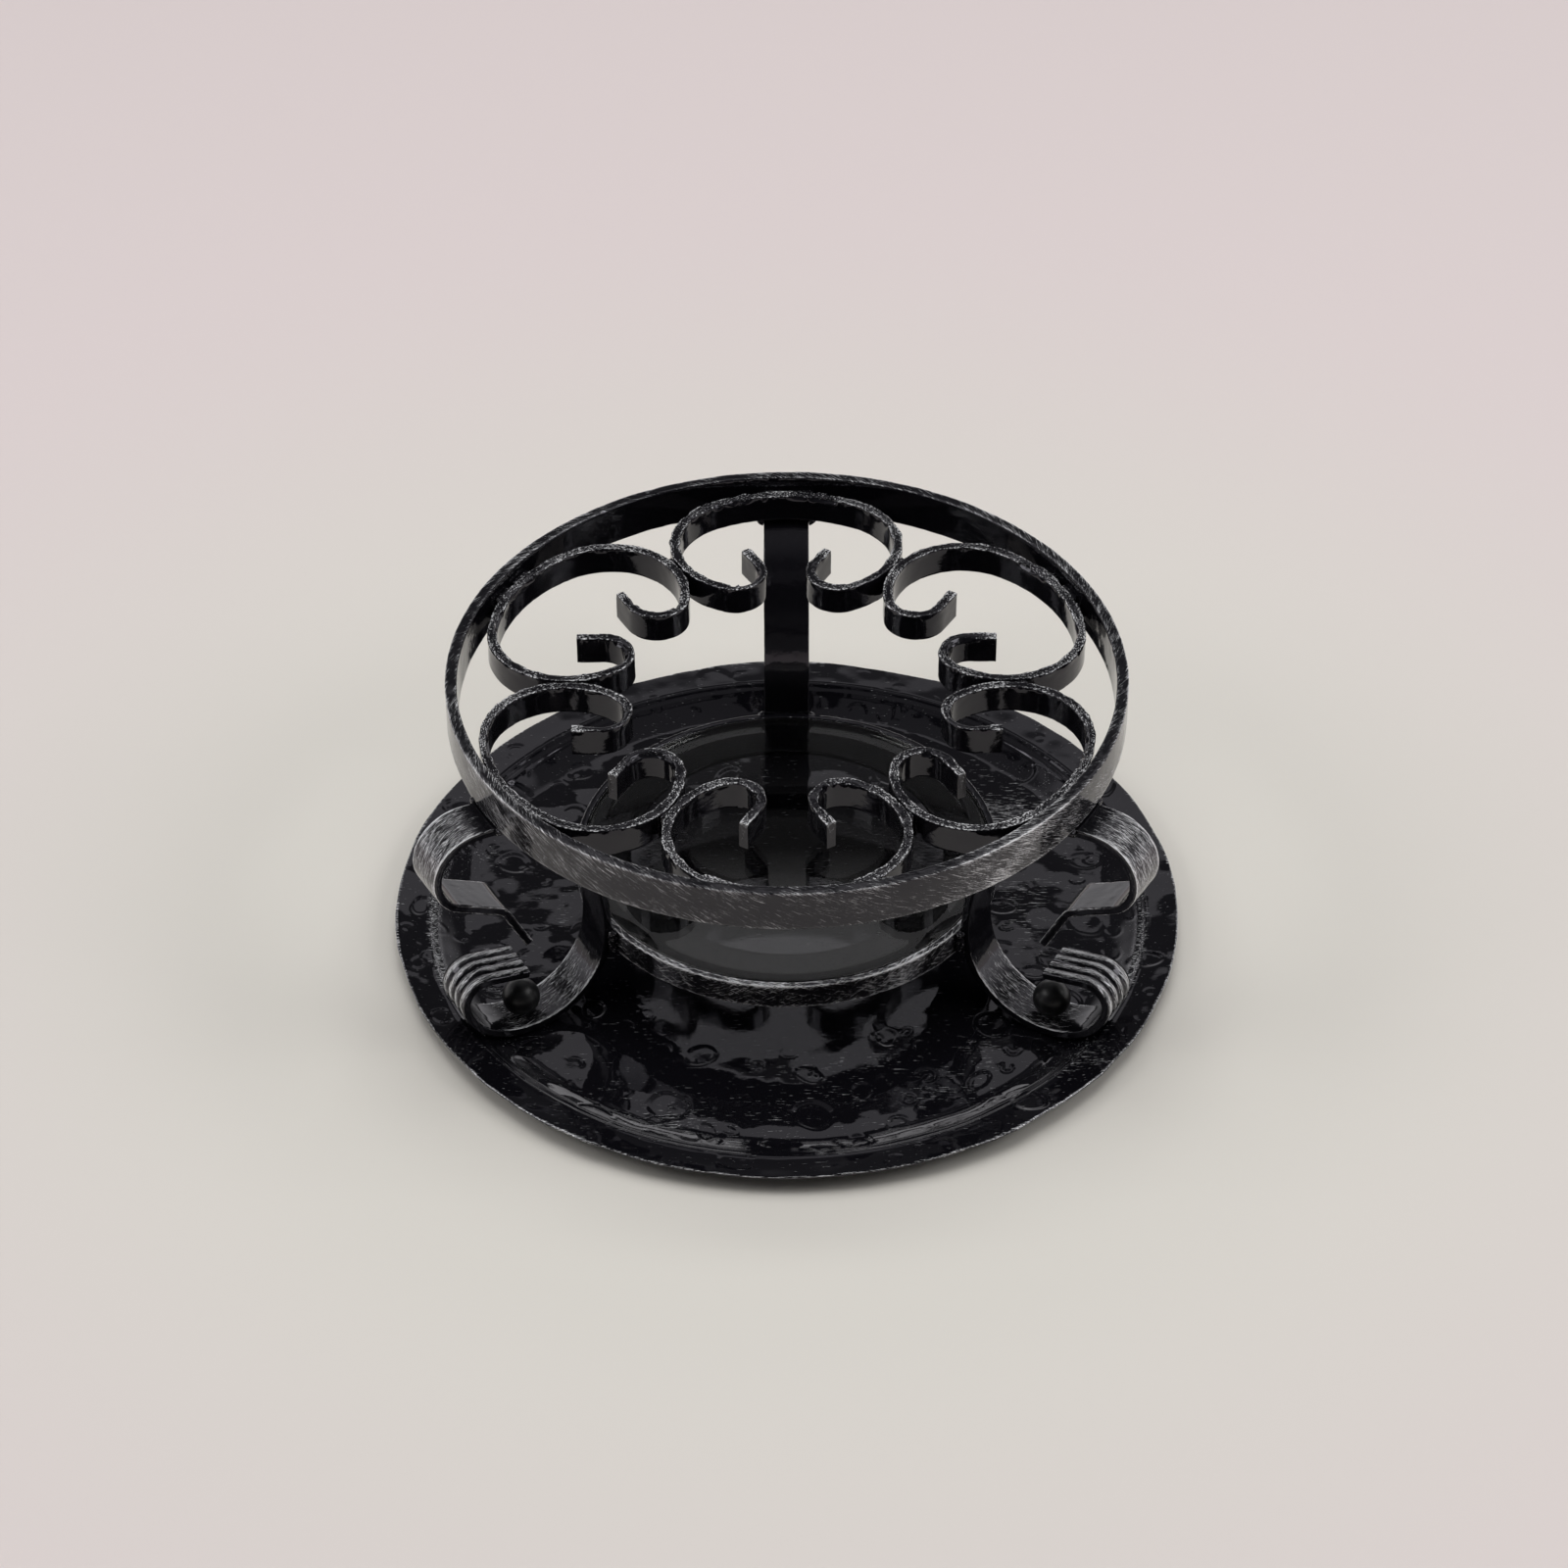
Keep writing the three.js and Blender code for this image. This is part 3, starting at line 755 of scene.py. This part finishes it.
def hammering(x, y):
    """Height change of the dish from the hammer, at points in mm."""
    at = on_plane(x, y)
    radius = np.hypot(x, y)
    waves = layered_noise(at, (0.6, 27, 4), (0.28, 12, 5), (0.05, 5, 6))
    dents = np.zeros(len(x))
    for place, size, depth, squash, turn, span in MARKS:
        near, angle, reach = near_mark(x, y, place, size, squash, turn)
        part = smooth_step(span - 0.35, span + 0.35, np.cos(angle))
        dents[near] -= depth * part * bump_at(reach, size, 0.75)
    ragged = 1 + 0.16 * lattice_noise(at, 8, 21)
    for place, size, depth, squash, turn in PITS:
        near, angle, reach = near_mark(x, y, place, size, squash, turn)
        dents[near] -= depth * (1 - smooth_step(size * 0.72, size, reach * ragged[near]))
    hammered_part = smooth_step(SMOOTH_RADIUS, SMOOTH_RADIUS + 14, radius)
    return (waves + dents) * hammered_part * (1 - 0.6 * bump_at(radius, CREASE_RADIUS, 4))


def hammered(radius, height, theta):
    """Moves dish points by the hammering and cuts the rim by hand."""
    outline = on_plane(np.cos(theta) * 60, np.sin(theta) * 60)
    cut = RIM_CUT + layered_noise(outline, (RIM_CUT, 7, 11), (0.3, 3, 12))
    near_rim = smooth_step(CREASE_RADIUS + 2, DISH_RADIUS, radius)
    lift = hammering(radius * np.cos(theta), radius * np.sin(theta))
    return radius - cut * near_rim, height + lift


# Patches of painted reflection: more silver dashes drawn where the dish would mirror the bright studio.
PAINTED_REFLECTION_PATCHES = [(128, -98, 14, 0.1), (98, 66, 24, 0.15)]  # x, y, reach and how much more silver


def dish_wear(points):
    """Silver on the crease and rim, hatched at the sides, a few dashes on the floor, and patches of painted
    reflection.
    """
    x, y = points[:, 0], points[:, 1]
    radius = np.hypot(x, y)
    top = points[:, 2] > dish_top(radius) - SHEET * 0.6
    side = np.abs(x) / np.maximum(radius, 1)
    uneven = lattice_noise(on_plane(x, y), 22, 81)
    crease = DISH_WEAR["crease"] * bump_at(radius, CREASE_RADIUS, 1.0) + 0.06 * uneven
    crease = crease + DISH_WEAR["inner crease"] * bump_at(radius, CREASE_RADIUS - CREASE_GAP, 0.8)
    hatch = (DISH_WEAR["hatch"] + 0.06 * uneven) * bump_at(radius, CREASE_RADIUS - 2, 6.5)
    hatch = hatch * smooth_step(0.78, 0.95, side)
    floor = (DISH_WEAR["floor"] + 0.07 * uneven) * between(98, 152, 8, 6, radius)
    floor = floor - DISH_WEAR["less at back"] * smooth_step(20, 90, y)
    rubbed = DISH_WEAR["rubbed"]
    # The patches add painted reflection on top of the dish's even wear.
    for place_x, place_y, reach, more in PAINTED_REFLECTION_PATCHES:
        rubbed = rubbed + more * bump_at(np.hypot(x - place_x, y - place_y), 0, reach)
    rim = DISH_WEAR["rim"] * smooth_step(DISH_RADIUS - 2.6, DISH_RADIUS - 1.2, radius)
    return np.where(top, np.maximum.reduce([crease, hatch, floor, rubbed, rim]), DISH_WEAR["underside"])


def dish_profile():
    """Rows from the centre over the upper face to the rim, and back underneath."""
    smooth = np.linspace(HUB_RADIUS, SMOOTH_RADIUS + 2, 10)
    radii = np.concatenate([smooth, np.linspace(SMOOTH_RADIUS + 4, DISH_RADIUS - 0.5, 135)])
    top = [(r, float(dish_top(r))) for r in radii]
    edge = [(DISH_RADIUS - 0.1, RIM_HEIGHT - 0.4), (DISH_RADIUS - 0.1, RIM_HEIGHT - SHEET + 0.4)]
    under_radii = [*np.linspace(DISH_RADIUS - 0.6, FLOOR_RADIUS - 4, 26), 120, 80, 40, HUB_RADIUS]
    under = [(r, max(0.0, float(dish_top(r)) - SHEET)) for r in under_radii]
    return [(0, SHEET)] + top + edge + under + [(0, 0)]


def keep_base_flat(radius, height, theta):
    """The underside follows the hammering, but never goes below the floor."""
    new_radius, new_height = hammered(radius, height, theta)
    underside = height < dish_top(radius) - SHEET * 0.6
    flat = underside & (radius < FLOOR_RADIUS + 2)
    new_height = np.where(flat, height, new_height)
    return new_radius, np.maximum(new_height, np.where(underside, 0.0, 0.9))


dish = revolve("drip_dish_hammered", dish_profile(), DISH_STEPS, keep_base_flat, dish_wear)
finish_piece(dish, dish_paint, "hammered_black", "drip_dish")


# ------------------------------------------------------------------ glass disc and its ledge
def rounded_rows(inner, outer, low, high, corner):
    """Rows of a flat disc or ring, from the inner top over the outer edge to the inner underside."""
    rows = line_rows((inner, high), (outer - corner, high), 12)
    for k in range(1, 5):
        angle = k / 5 * math.pi / 2
        rows.append((outer - corner * (1 - math.sin(angle)), high - corner * (1 - math.cos(angle))))
    rows += line_rows((outer, high - corner), (outer, low + corner), 3)
    for k in range(1, 5):
        angle = k / 5 * math.pi / 2
        rows.append((outer - corner * (1 - math.cos(angle)), low + corner * (1 - math.sin(angle))))
    return rows + line_rows((outer - corner, low), (inner, low), 12)


disc_rows = [(0, glass_high[2])] + rounded_rows(4, GLASS_RADIUS, glass_low[2], glass_high[2], 0.6)
disc = revolve("glass_disc_polished", disc_rows + [(0, glass_low[2])], 240)
finish_piece(disc, glass, "clear_glass", "glass_disc")


def ledge_ring():
    """The ledge, with both of its long edges broken by the file."""
    outer, low, high = ledge_high[0], ledge_low[2], ledge_high[2]
    width = outer - LEDGE_INNER_RADIUS
    section = bar_section(width, high - low, 0.4, 1.5)
    stations = circle_stations(outer - width / 2, 240)
    return sweep("glass_ledge_filed", stations, section, UPRIGHT, origin=(0, 0, (low + high) / 2),
                 closed=True, seed=9, roughness=0.01)


finish_piece(ledge_ring(), ledge_paint, "gloss_black", "glass_ledge")


# ------------------------------------------------------------------ ball nuts
def ball_profile(low, high):
    """A ball with a small flat seat underneath."""
    radius = (high - low) / 2
    centre = (high + low) / 2
    seat = math.asin(0.3)
    rows = [(0, low + radius * (1 - math.cos(seat)))]
    for k in range(49):
        angle = seat + (math.pi - seat - 0.03) * k / 48
        rows.append((radius * math.sin(angle), centre - radius * math.cos(angle)))
    return rows + [(0, high)]


ball_reach = (ball_low[1] + ball_high[1]) / 2
for where, degrees in LEG_AZIMUTHS.items():
    azimuth = math.radians(degrees)
    centre = (ball_reach * math.cos(azimuth), ball_reach * math.sin(azimuth))
    profile = ball_profile(ball_low[2], ball_high[2])
    ball = revolve(f"ball_nut_{where}_turned", profile, 96, centre=centre)
    finish_piece(ball, ball_paint, "satin_black", f"ball_nut_{where}")


# ------------------------------------------------------------------ weld beads and studs
BEAD_GROWTH = 0.42
BEAD_VOXEL = 0.45


def weld_bead(node, seed):
    """A rippled bead over the CAD fillet, grown until it meets the bars it joins."""
    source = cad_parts[node]
    mesh = source.data.copy()
    bead = bpy.data.objects.new(f"{node}_bead", mesh)
    bpy.context.scene.collection.objects.link(bead)
    remesh = bead.modifiers.new("remesh", "REMESH")
    remesh.mode = "VOXEL"
    remesh.voxel_size = BEAD_VOXEL * MM
    shown = bead.evaluated_get(bpy.context.evaluated_depsgraph_get())
    fine = bpy.data.meshes.new_from_object(shown)
    bead.modifiers.clear()
    bead.data = fine
    bpy.data.meshes.remove(mesh)
    points = np.zeros(len(fine.vertices) * 3)
    fine.vertices.foreach_get("co", points)
    points = points.reshape(-1, 3) / MM
    normals = np.zeros(len(fine.vertices) * 3)
    fine.vertices.foreach_get("normal", normals)
    normals = normals.reshape(-1, 3)
    ripple = layered_noise(points, (0.25, 1.8, seed), (0.2, 3.6, seed + 1))
    points += normals * (BEAD_GROWTH + ripple)[:, None]
    fine.vertices.foreach_set("co", (points * MM).ravel())
    wear = np.full(len(points), WELD_WEAR, np.float32)
    fine.attributes.new("wear", "FLOAT", "POINT").data.foreach_set("value", wear)
    fine.attributes.new("grain", "FLOAT_VECTOR", "POINT").data.foreach_set("vector", (points * MM).ravel())
    fine.polygons.foreach_set("use_smooth", [True] * len(fine.polygons))
    finish_piece(bead, weld_paint, "weld_paint", node)


for number, node in enumerate(sorted(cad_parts)):
    if node.startswith("weld_"):
        weld_bead(node, 100 + number)
    if node.startswith("stud_"):
        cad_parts[node].data.materials.clear()
        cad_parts[node].data.materials.append(stud_steel)


# ------------------------------------------------------------------ floor, light and camera
bpy.ops.mesh.primitive_plane_add(size=14, location=(0, 0, 0))
floor = bpy.context.object
floor.name = "floor"
floor.data.materials.append(paper_with_painted_shade("floor_paper_painted_shade"))


def add_softbox(name, azimuth, elevation, distance, size, power, glossy=True):
    """An area light at a direction from the stand, aimed at it. Only a glossy one is mirrored."""
    light = bpy.data.lights.new(name, "AREA")
    light.shape = "RECTANGLE"
    light.size, light.size_y = size
    light.energy = power
    lamp = bpy.data.objects.new(name, light)
    bpy.context.scene.collection.objects.link(lamp)
    a, e = math.radians(azimuth), math.radians(elevation)
    place = Vector((math.cos(a) * math.cos(e), math.sin(a) * math.cos(e), math.sin(e))) * distance
    lamp.location = place
    lamp.rotation_euler = (-place).to_track_quat("-Z", "Y").to_euler()
    lamp.visible_glossy = glossy
    lamp.visible_transmission = glossy


# The studio's brightness against the sine of the height above level.
STUDIO_STOPS = [(0.0, 1.1), (0.2, 0.8), (0.35, 0.45), (0.5, 0.08), (0.65, 0.07), (0.658, 0.62), (0.76, 0.62),
                (0.8, 0.17), (1.0, 0.2)]
ROOM_BEHIND_CAMERA = 0.12


def studio_world():
    """A pale sweep low down, a dark gap above it, a bright band, a dim ceiling and a dark room in front."""
    world = bpy.data.worlds.new("studio")
    bpy.context.scene.world = world
    world.use_nodes = True
    nodes, links = world.node_tree.nodes, world.node_tree.links
    background = nodes["Background"]
    direction = nodes.new("ShaderNodeTexCoord").outputs["Generated"]
    split = nodes.new("ShaderNodeSeparateXYZ")
    links.new(direction, split.inputs[0])
    height = nodes.new("ShaderNodeValToRGB")
    ramp = height.color_ramp
    while len(ramp.elements) < len(STUDIO_STOPS):
        ramp.elements.new(0.5)
    for element, (position, level) in zip(ramp.elements, STUDIO_STOPS):
        element.position = position
        element.color = (level, level * 0.985, level, 1)
    links.new(split.outputs["Z"], height.inputs["Fac"])
    links.new(height.outputs["Color"], background.inputs["Color"])
    front = nodes.new("ShaderNodeMapRange")
    front.interpolation_type = "SMOOTHSTEP"
    front.inputs["From Min"].default_value = -0.7
    front.inputs["From Max"].default_value = 0.0
    front.inputs["To Min"].default_value = ROOM_BEHIND_CAMERA
    front.inputs["To Max"].default_value = 1.0
    links.new(split.outputs["Y"], front.inputs["Value"])
    links.new(front.outputs["Result"], background.inputs["Strength"])


studio_world()
add_softbox("overhead", azimuth=90, elevation=84, distance=4.2, size=(3.2, 3.0), power=105, glossy=False)
add_softbox("left", azimuth=190, elevation=42, distance=3.5, size=(1.8, 1.5), power=24)
add_softbox("right", azimuth=-10, elevation=42, distance=3.5, size=(1.8, 1.5), power=28)

EYE = Vector((-0.00133, -1.4555, 1.2816))
PITCH = math.radians(50.42)
ROLL = math.radians(-0.167)
LENS = 99.25
SENSOR = 36
camera_data = bpy.data.cameras.new("camera")
camera_data.lens = LENS
camera_data.sensor_width = SENSOR
camera = bpy.data.objects.new("camera", camera_data)
bpy.context.scene.collection.objects.link(camera)
turned = Matrix.Rotation(PITCH, 4, "X") @ Matrix.Rotation(ROLL, 4, "Z")
camera.matrix_world = Matrix.Translation(EYE) @ turned
bpy.context.scene.camera = camera
bpy.context.scene.view_settings.view_transform = "Standard"
